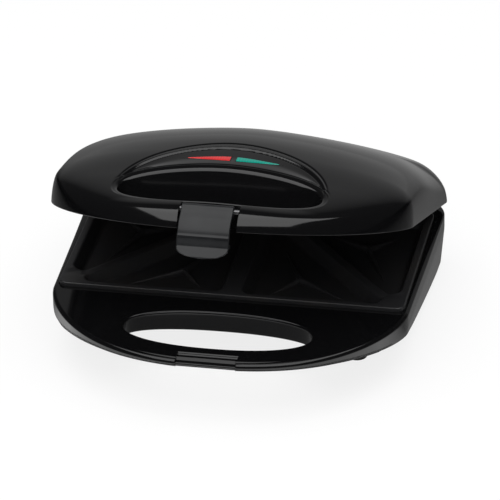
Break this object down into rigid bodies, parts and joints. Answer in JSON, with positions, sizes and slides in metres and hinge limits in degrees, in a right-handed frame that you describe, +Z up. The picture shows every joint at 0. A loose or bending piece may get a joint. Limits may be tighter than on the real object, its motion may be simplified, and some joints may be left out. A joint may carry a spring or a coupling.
{
  "type": "sandwich toaster",
  "caption": "Gloss black sandwich toaster with a raised domed lid, ridged triangular pockets, a grip opening in each half and a front latch.",
  "frame": {"origin": "middle of the object's footprint, on the table", "axes": "+X the object's right, +Y its back where the hinge is, +Z up; the lid is raised about 21 degrees and the latch hangs just clear of its locked place"},
  "size_m": [0.2384, 0.2368, 0.1378],
  "materials": {
    "housing": "smooth gloss black",
    "cover": "fine satin grain",
    "inner_frame": "satin black, heat resistant",
    "plate": "cast, with a black non-stick coating",
    "element": "dull, heat tinted",
    "clamp": "plain sheet",
    "reflector": "bright rolled sheet",
    "thermostat": "plain, on a fired clay stack",
    "fuse": "plain can in a glass fibre sleeve",
    "terminal": "off-white moulded block",
    "wire": "heat resistant silicone",
    "gland": "matt black",
    "feet": "matt black",
    "screw": "zinc plated",
    "pin": "ground",
    "sleeve": "braided glass fibre sleeve",
    "red_lens": "clear red",
    "green_lens": "clear blue-green",
    "lamp_holder": "natural moulded",
    "red_lamp": "neon lamp",
    "green_lamp": "neon lamp",
    "latch": "dark grey satin"
  },
  "bodies": {
    "base": {"base_housing": "housing", "bottom_cover": "cover", "lower_plate": "plate", "lower_element": "element", "lower_element_clamps": "clamp", "lower_reflector": "reflector", "lower_thermostat": "thermostat", "thermal_fuse": "fuse", "terminal_block": "terminal", "base_wiring": "wire", "cord_gland": "gland", "rubber_feet": "feet", "lower_plate_screws": "screw", "bottom_cover_screws": "screw", "hinge_pins": "pin", "hinge_sleeve_lower": "sleeve"},
    "lid": {"lid_housing": "housing", "lid_inner_frame": "inner_frame", "power_lens": "red_lens", "ready_lens": "green_lens", "lamp_holder": "lamp_holder", "power_lamp": "red_lamp", "ready_lamp": "green_lamp", "upper_plate": "plate", "upper_element": "element", "upper_element_clamps": "clamp", "upper_reflector": "reflector", "upper_thermostat": "thermostat", "upper_plate_screws": "screw", "lid_frame_screws": "screw", "lid_wiring": "wire", "latch_pin": "pin", "hinge_sleeve_upper": "sleeve"},
    "latch": {"latch": "latch"}
  },
  "joints": [
    {"name": "lid_hinge", "type": "hinge", "parent": "base", "child": "lid", "pos_m": [0, 0.11, 0.04], "axis": [-1, 0, 0], "range_deg": [-21.3, 68.7]},
    {"name": "latch_hinge", "type": "hinge", "parent": "lid", "child": "latch", "pos_m": [0, -0.09123, 0.13337], "axis": [-1, 0, 0], "range_deg": [-8, 60]}
  ]
}
